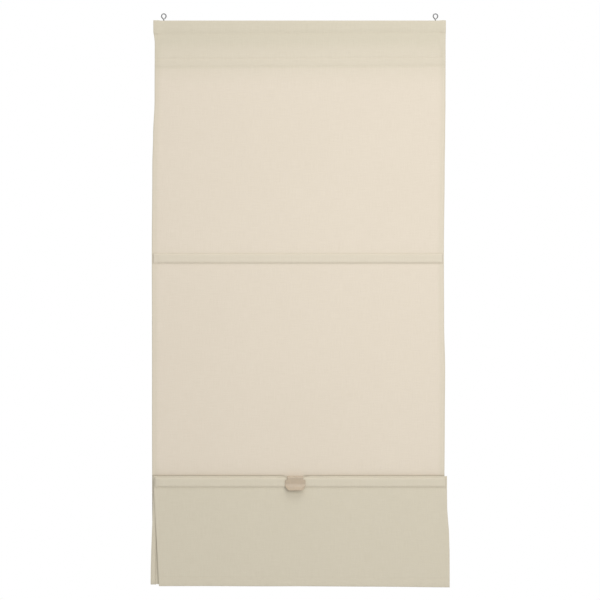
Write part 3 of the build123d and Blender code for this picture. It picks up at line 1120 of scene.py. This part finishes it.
# %% The stitch tree
def stitch_tree():
    """Bars of thread along lines of stitching."""
    tree, nodes, entry, result = new_tree(
        "stitches",
        "GeometryNodeTree",
        {
            "Lines": ("Geometry", None),
            "Pitch": ("Float", 0.0036),
            "Length": ("Float", 0.0029),
            "Thread": ("Float", 0.00042),
            "Tilt": ("Float", 0.06),
            "Seed": ("Int", 4),
            "Finish": ("Material", None),
        },
        {"Stitches": ("Geometry", None)},
    )
    ins = entry.outputs
    curves = nodes.add("GeometryNodeMeshToCurve", {"Mesh": ins["Lines"]})
    points = nodes.add(
        "GeometryNodeCurveToPoints",
        {"Curve": curves.outputs[0], "Length": ins["Pitch"]},
        mode="LENGTH",
    )
    bar = nodes.add("GeometryNodeMeshUVSphere", {"Segments": 5, "Rings": 4, "Radius": 0.5})
    random_tilt = nodes.add(
        "FunctionNodeRandomValue",
        {"Seed": ins["Seed"]},
        data_type="FLOAT_VECTOR",
    )
    low, high = nodes.math("MULTIPLY", ins["Tilt"], -1.0), ins["Tilt"]
    nodes.set(random_tilt.inputs[0], nodes.vector(low, low, low))
    nodes.set(random_tilt.inputs[1], nodes.vector(high, high, high))
    tilt = nodes.add("FunctionNodeEulerToRotation", {0: random_tilt.outputs[0]})
    turned = nodes.add(
        "FunctionNodeRotateRotation",
        {"Rotation": points.outputs["Rotation"], "Rotate By": tilt.outputs[0]},
        rotation_space="LOCAL",
    )
    bars = nodes.add(
        "GeometryNodeInstanceOnPoints",
        {
            "Points": points.outputs["Points"],
            "Instance": bar.outputs["Mesh"],
            "Rotation": turned.outputs[0],
            "Scale": nodes.vector(ins["Thread"], ins["Thread"], ins["Length"]),
        },
    )
    real = nodes.add("GeometryNodeRealizeInstances", {"Geometry": bars.outputs[0]})
    smooth = nodes.add("GeometryNodeSetShadeSmooth", {0: real.outputs[0]})
    finished = nodes.add(
        "GeometryNodeSetMaterial", {"Geometry": smooth.outputs[0], "Material": ins["Finish"]}
    )
    nodes.set(result.inputs["Stitches"], finished.outputs[0])
    return tree


stitch_maker = stitch_tree()
print("tree:", stitch_maker.name, "with", len(stitch_maker.nodes), "nodes")

# %% [markdown]
# The rows themselves: along every seam of the cloth, round the hems on both faces, and along
# both edges of each strip. Rib 3's upper row stops on both sides of the clip.

# %% Lines of stitching
thread_width = 0.42 * mm
on_face = cloth_thick / 2 + 0.05 * mm   # from the cloth's middle line to the thread's
seam_end = half_width - side_hem + 1 * mm
tack_length = 9 * mm                # the second line at the end of a row
tack_drop = 0.5 * mm


def sewn_rows():
    """Every line of stitching on the cloth itself, as arrays of points."""
    across = np.linspace(-seam_end, seam_end, 200)
    lines = [on_cloth(across, row, on_face) for row in (mark["head seam"], *panel_rows)]
    for row in (mark["back seam"], mark["high row"], mark["low row"]):
        lines.append(on_cloth(across, row + 0.3 * mm, on_face))
    for row in (*pocket_rows, rib_3_along - row_rise, rib_3_along + row_rise):
        lines.append(on_cloth(across, row, -on_face))
    whole_width = np.linspace(-half_width, half_width, 200) * 0.995
    for row in (hem_row, cut_length - hem_margin):
        lines.append(on_cloth(whole_width, row, on_face))
    down = np.arange(mark["low row"], mark["flap end"] - 2 * mm, 6 * mm)
    for side in (-1, 1):
        inside = side * (half_width - side_hem + 1.5 * mm)
        lines.append(on_cloth(inside, down, on_face))
        lines.append(on_cloth(inside, down, -hem_step - on_face))
    return lines


def level_line(x, y, z):
    """Points at the given places across the blind, at one depth and height."""
    return np.stack([x, x * 0 + y, x * 0 + z], axis=-1)


def strip_rows():
    """The two rows that hold each strip down, with a gap where the clip goes in."""
    lines = []
    for number, strip in pocket_strips.items():
        seat = strips[number][1][1]
        sunk = strip_sink + (0 if number == 3 else seam_sink)
        y = seat - strip_thick / 2 - strip_step + sunk - on_face
        xs = [vertex.co.x for vertex in strip.data.vertices]
        first, last = min(xs) + 1 * mm, max(xs) - 1 * mm
        for side in (-1, 1):
            z = rib_z[number] + side * (strip_row + 0.2 * mm)
            spans = [(first, last)]
            if number == 3 and side > 0:
                half_mouth = mouth_width / 2 + 4 * mm
                spans = [(first, clip_x - half_mouth), (clip_x + half_mouth, last)]
            for start, end in spans:
                lines.append(level_line(np.linspace(start, end, 60), y, z))
                for place, inward in ((start, 1), (end, -1)):
                    tack = place + inward * np.linspace(0, tack_length, 3)
                    lines.append(level_line(tack, y, z - tack_drop))
    return lines


def line_mesh(lines):
    """One mesh of edge chains."""
    points = np.concatenate(lines)
    links = []
    start = 0
    for line in lines:
        links += [(start + i, start + i + 1) for i in range(len(line) - 1)]
        start += len(line)
    mesh = bpy.data.meshes.new("seam_lines")
    mesh.from_pydata(points.tolist(), links, [])
    return mesh


seam_lines = sewn_rows() + strip_rows()
print(len(seam_lines), "lines of stitching")

# %% [markdown]
# The thread is a twisted cotton thread, close to the cloth in colour. Its twist is finer than the
# bars, so fine grain stands for it.

# %% Thread and its stitches
def thread_material():
    """Twisted sewing thread."""
    material, nodes, shader = start_material("sewing_thread", roughness=0.62, specular=0.35)
    fibres = place_group(nodes, grain, Vector=object_place(nodes), Scale=2600.0, Detail=2.0)
    colour = blend_colours(nodes, fibres["Value"], (0.70, 0.62, 0.49, 1), (0.80, 0.73, 0.60, 1))
    link_surface(nodes, shader, colour, fibres["Value"], 0.08 * mm)
    shader.inputs["Sheen Weight"].default_value = 0.2
    return material


thread = thread_material()
stitch_mesh = run_tree(
    "stitching",
    line_mesh(seam_lines),
    stitch_maker,
    {"Pitch": 3.6 * mm, "Length": 3.0 * mm, "Thread": thread_width, "Tilt": 0.07, "Seed": 4,
     "Finish": thread},
)
stitching = add_piece("stitching", stitch_mesh, "blind")
print("stitching:", len(stitch_mesh.polygons), "faces")

# %% [markdown]
# ## The lift clip
#
# The clip is one springy moulding. A leg goes down behind rib 3, a neck crosses over the fold,
# and a wider tab with a raised rim lies on the front and curls out to a lip for the thumb. The
# solid model has its sizes but flat facets. Here the clip is lofted again from its side view,
# with the waist a little lower: at every step along that line stands a flat loop, as wide as the
# clip is there, with round edges. That gives an even, smooth moulding.

# %% Side view of the clip
clip_thick = 1.4 * mm
tab_width = 42 * mm
leg_short = 1 * mm                  # the leg's tip stops this much above the slat's lower edge
bend_radius = 2.2 * mm
shoulder_rise = 6 * mm              # from rib 4's middle up to the tab's shoulders
shoulder_bulge = 1.4 * mm           # how far the tab's top stands out from its waist
shoulder_corner = 3 * mm
waist_drop = 6 * mm                 # from rib 4's middle down to the waist
waist_radius = 9 * mm
lip_reach = 9 * mm                  # how far the lip stands out from the waist
lip_corner = 12 * mm
rim_width = 1.7 * mm
rim_height = 1.1 * mm
shoulder_z = rib_z[4] + shoulder_rise
waist_z = rib_z[4] - waist_drop
leg_y = clip_high[1] - clip_thick / 2
bridge_z = clip_high[2] - clip_thick / 2
waist_y = strips[4][0][1] - play - clip_thick / 2
lip_z = clip_low[2]


def clip_line():
    """Middle line of the clip from the leg's tip to the lip."""
    corners = [
        ("tip", leg_y, slats[3][0][2] + leg_short, 0),
        ("bridge back", leg_y, bridge_z, bend_radius),
        ("bridge front", waist_y - shoulder_bulge, bridge_z, bend_radius),
        ("waist", waist_y, waist_z, waist_radius),
        ("lip", waist_y - lip_reach, lip_z + 0.4 * mm, 0),
    ]
    return rounded_line(corners, arc_step=radians(7), longest=0.5 * mm)


print(f"the clip is {clip_line()[1][-1] / mm:.0f} mm long along its side view")

# %% [markdown]
# Seen from the front the tab has rounded shoulders and two large round corners at the lip, and a
# rim runs round its lower part. Both are worked out from the distance to the tab's outline.

# %% Outline and rim of the clip
def clip_half_width(z, on_tab):
    """Half the clip's width at a height of its tab, or on its leg and bridge."""
    if not on_tab:
        return neck_width / 2
    below = shoulder_z - z
    above = z - lip_z
    full = tab_width / 2
    if below < shoulder_corner:
        missing = shoulder_corner - below
        return full - shoulder_corner + (shoulder_corner ** 2 - missing ** 2) ** 0.5
    if above < lip_corner:
        missing = lip_corner - max(above, 0)
        return full - lip_corner + max(lip_corner ** 2 - missing ** 2, 0) ** 0.5
    return full


def rim_lift(x, z):
    """How far the outer face is raised at a place of the tab: a rim below the waist."""
    above = z - lip_z
    straight = tab_width / 2 - lip_corner
    if above < lip_corner and abs(x) > straight:
        inside = lip_corner - np.hypot(abs(x) - straight, lip_corner - above)
    else:
        inside = min(tab_width / 2 - abs(x), above)
    raised = 1 - ramp(inside, rim_width - 0.5 * mm, rim_width + 0.4 * mm)
    below_waist = ramp(waist_z - z, 0, 3 * mm)
    return rim_height * raised * below_waist


# %% [markdown]
# Each loop goes once round the clip: along the outer face, where the rim is raised, round one
# edge, back along the inner face and round the other edge. Towards both ends of the clip the
# loops grow thin, which rounds the ends.

# %% Loft the clip
def clip_loop(y, z, facing, half, thickness, on_tab):
    """Closed loop of points round the clip at one step of its side view."""
    outer_count, inner_count, edge_count = 46, 16, 4
    round_edge = thickness / 2
    flat = half - clip_thick / 2
    loop = []
    for x in np.linspace(-flat, flat, outer_count):
        lift = rim_lift(x, z) if on_tab else 0.0
        loop.append((x, round_edge + lift * thickness / clip_thick))
    edge_lift = loop[-1][1] - round_edge
    for step in range(1, edge_count):
        angle = pi * step / edge_count
        lift = round_edge * cos(angle) + edge_lift * (1 - step / edge_count)
        loop.append((flat + clip_thick / 2 * sin(angle), lift))
    loop += [(x, -round_edge) for x in np.linspace(flat, -flat, inner_count)]
    for step in range(1, edge_count):
        angle = pi * step / edge_count
        lift = -round_edge * cos(angle) + edge_lift * step / edge_count
        loop.append((-flat - clip_thick / 2 * sin(angle), lift))
    return [(clip_x + x, y + facing[0] * out, z + facing[1] * out) for x, out in loop]


def clip_loops():
    """All loops of the clip, with rounded ends."""
    line, along, marks = clip_line()
    slope = np.gradient(line, along, axis=0)
    facing = np.stack([slope[:, 1], -slope[:, 0]], axis=-1)
    facing = facing / np.linalg.norm(facing, axis=1)[:, None]
    loops = []
    end_round = clip_thick / 2
    was_on_tab = False
    for (y, z), face, place in zip(line, facing, along):
        on_tab = place > marks["bridge front"] and z <= shoulder_z
        from_end = min(place, along[-1] - place)
        thin = 1.0
        if from_end < end_round:
            thin = max(0.12, (1 - (1 - from_end / end_round) ** 2) ** 0.5)
        if on_tab and not was_on_tab:
            loops.append(clip_loop(y, z, face, neck_width / 2, clip_thick * thin, False))
        half = clip_half_width(z, on_tab)
        loops.append(clip_loop(y, z, face, half, clip_thick * thin, on_tab))
        was_on_tab = on_tab
    return loops


def lofted_mesh(name, loops):
    """Closed mesh through a list of loops, with a face on each end."""
    count = len(loops[0])
    points = [point for loop in loops for point in loop]
    faces = [tuple(reversed(range(count)))]
    for level in range(len(loops) - 1):
        start = level * count
        for step in range(count):
            after = (step + 1) % count
            faces.append((start + step, start + after, start + count + after,
                          start + count + step))
    faces.append(tuple(range(len(points) - count, len(points))))
    mesh = bpy.data.meshes.new(name)
    mesh.from_pydata(points, [], faces)
    return mesh


clip_mesh = lofted_mesh("clip_moulding", clip_loops())
clip = add_piece("clip_moulding", clip_mesh, "clip")
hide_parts("lift_clip")
print("clip:", len(clip_mesh.polygons), "faces")

# %% [markdown]
# ### Moulded plastic
#
# The clip is glossy beige plastic with the faint unevenness of a moulding, and it has a few fine
# scuffs from thumbs. The slats are plain white plastic with lines from the extruder along them.

# %% Plastics
def clip_material():
    """Glossy beige moulded plastic."""
    material, nodes, shader = start_material("beige_plastic", roughness=0.32, specular=0.5)
    place = object_place(nodes)
    worn = place_group(nodes, wear, Vector=place, Scale=90.0, Amount=1.0)
    fine = place_group(nodes, grain, Vector=place, Scale=1500.0, Detail=3.0)
    colour = blend_colours(nodes, worn["Mask"], (0.56, 0.455, 0.335, 1), (0.50, 0.41, 0.305, 1))
    rough = nodes.math("MULTIPLY_ADD", worn["Mask"], 0.16, 0.28)
    link_surface(nodes, shader, colour, fine["Value"], 0.02 * mm, rough)
    return material


def slat_material():
    """White extruded plastic."""
    material, nodes, shader = start_material("slat_plastic", roughness=0.5, specular=0.4)
    along_slat = object_place(nodes, stretch=(0.02, 1.0, 1.0))
    lines = place_group(nodes, grain, Vector=along_slat, Scale=1400.0, Detail=2.0)
    worn = place_group(nodes, wear, Vector=object_place(nodes), Scale=30.0, Amount=1.0)
    colour = blend_colours(nodes, worn["Mask"], (0.76, 0.75, 0.71, 1), (0.68, 0.67, 0.62, 1))
    rough = nodes.math("MULTIPLY_ADD", lines["Value"], 0.2, 0.4)
    link_surface(nodes, shader, colour, lines["Value"], 0.03 * mm, rough)
    return material


# %% [markdown]
# ### Batten and screw eyes
#
# The batten is planed softwood: growth rings stretched along its length, with fine pores. The
# eyes are bent from zinc-plated steel wire, grey and slightly dull, with faint drawing lines.

# %% Wood and steel
def wood_material():
    """Planed softwood, its grain along the batten."""
    material, nodes, shader = start_material("softwood", roughness=0.6, specular=0.35)
    along_batten = object_place(nodes, stretch=(0.035, 1.0, 1.0))
    rings = nodes.add(
        "ShaderNodeTexWave",
        {"Vector": along_batten, "Scale": 70.0, "Distortion": 5.0, "Detail": 3.0,
         "Detail Scale": 1.6},
        bands_direction="Z",
    ).outputs["Fac"]
    pores = place_group(nodes, grain, Vector=along_batten, Scale=2600.0, Detail=4.0)
    late = nodes.math("POWER", rings, 2.0)
    colour = blend_colours(nodes, late, (0.70, 0.52, 0.32, 1), (0.50, 0.32, 0.165, 1))
    rough = nodes.math("MULTIPLY_ADD", pores["Value"], 0.2, 0.5)
    link_surface(nodes, shader, colour, pores["Value"], 0.06 * mm, rough)
    return material


def steel_material():
    """Dull zinc-plated steel wire."""
    material, nodes, shader = start_material("plated_wire", roughness=0.35, metallic=1.0)
    place = object_place(nodes)
    fine = place_group(nodes, grain, Vector=place, Scale=3200.0, Detail=3.0)
    worn = place_group(nodes, wear, Vector=place, Scale=260.0, Amount=1.0)
    colour = blend_colours(nodes, worn["Mask"], (0.30, 0.30, 0.305, 1), (0.20, 0.20, 0.205, 1))
    rough = nodes.math("MULTIPLY_ADD", worn["Mask"], 0.22, 0.3)
    link_surface(nodes, shader, colour, fine["Value"], 0.02 * mm, rough)
    return material


# %% [markdown]
# The slats, the batten and the eyes keep the shape of the solid model and only get their
# materials. All but the eyes lie hidden inside the cloth, and show at its open ends.

# %% Give each hard piece its finish
clip_mesh.materials.append(clip_material())
finishes = {"rib_slat": slat_material(), "head_batten": wood_material(),
            "screw_eye": steel_material()}
for node_name, finish in finishes.items():
    for name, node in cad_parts.items():
        if name.startswith(node_name):
            for material_slot in node.material_slots:
                material_slot.material = finish
print("finished:", ", ".join(finishes))

# %% [markdown]
# ## Floor, light and camera
#
# A pale floor lies well below the hanging blind. The light is a soft studio: a large lamp high
# up in front, a smaller and weaker one in front of the blind, both a little to the right, one
# behind for the window side, and a white world all round. The camera looks straight at the
# blind.

# %% Floor
def make_floor(z, radius):
    """Large pale disc."""
    sides = 96
    turns = [2 * pi * side / sides for side in range(sides)]
    corners = [(radius * cos(turn), radius * sin(turn), z) for turn in turns]
    mesh = bpy.data.meshes.new("floor")
    mesh.from_pydata(corners, [], [tuple(range(sides))])
    floor = bpy.data.objects.new("floor", mesh)
    bpy.context.scene.collection.objects.link(floor)
    material, nodes, shader = start_material("pale_floor", roughness=0.9, specular=0.2)
    shader.inputs["Base Color"].default_value = (0.93, 0.93, 0.92, 1)
    mesh.materials.append(material)


make_floor(z=-2.2, radius=6.0)
print("floor 1 m below the blind")

# %% [markdown]
# The lamps are square panels turned towards the blind. The world is seen pure white, but it
# gives less light than that, so that the lamps can still model the folds.

# %% Light
def make_lamp(name, place, aim, size, watts):
    """Square area lamp."""
    data = bpy.data.lights.new(name, "AREA")
    data.shape = "SQUARE"
    data.size = size
    data.energy = watts
    lamp = bpy.data.objects.new(name, data)
    lamp.location = place
    lamp.rotation_euler = (Vector(aim) - Vector(place)).to_track_quat("-Z", "Y").to_euler()
    bpy.context.scene.collection.objects.link(lamp)


def make_world(seen, lights):
    """White world: one strength for what the camera sees, another for the light it gives."""
    world = bpy.data.worlds.new("studio")
    world.use_nodes = True
    world.node_tree.nodes.clear()
    nodes = Nodes(world.node_tree)
    path = nodes.add("ShaderNodeLightPath")
    white = (1, 1, 1, 1)
    lit = nodes.add("ShaderNodeBackground", {"Color": white, "Strength": lights})
    shown = nodes.add("ShaderNodeBackground", {"Color": white, "Strength": seen})
    mix = nodes.add(
        "ShaderNodeMixShader",
        {0: path.outputs["Is Camera Ray"], 1: lit.outputs[0], 2: shown.outputs[0]},
    )
    nodes.add("ShaderNodeOutputWorld", {"Surface": mix.outputs[0]})
    bpy.context.scene.world = world


blind_middle = (0, 0, -0.6)
make_world(seen=1.0, lights=0.46)
make_lamp("key", (0.5, -1.7, 2.2), blind_middle, size=1.8, watts=33)
make_lamp("front", (0.45, -1.7, -0.4), (0.05, 0, -0.5), size=1.0, watts=12.5)
make_lamp("back", (-0.8, 2.2, 0.6), blind_middle, size=1.6, watts=36)
bpy.context.scene.view_settings.view_transform = "Standard"
print("three lamps and a white world")

# %% [markdown]
# A long lens from four metres away keeps the blind's edges straight and parallel.

# %% Camera
def make_camera(place, lens):
    """Camera that looks level at the blind from the room."""
    data = bpy.data.cameras.new("camera")
    data.sensor_width = 36
    data.lens = lens
    camera = bpy.data.objects.new("camera", data)
    camera.location = place
    camera.rotation_euler = (radians(90), 0, 0)
    bpy.context.scene.collection.objects.link(camera)
    bpy.context.scene.camera = camera


make_camera(place=(0.0008, -4.003, -0.5852), lens=116.5)
camera_place = bpy.context.scene.camera.location
print("camera at", [round(value, 2) for value in camera_place])
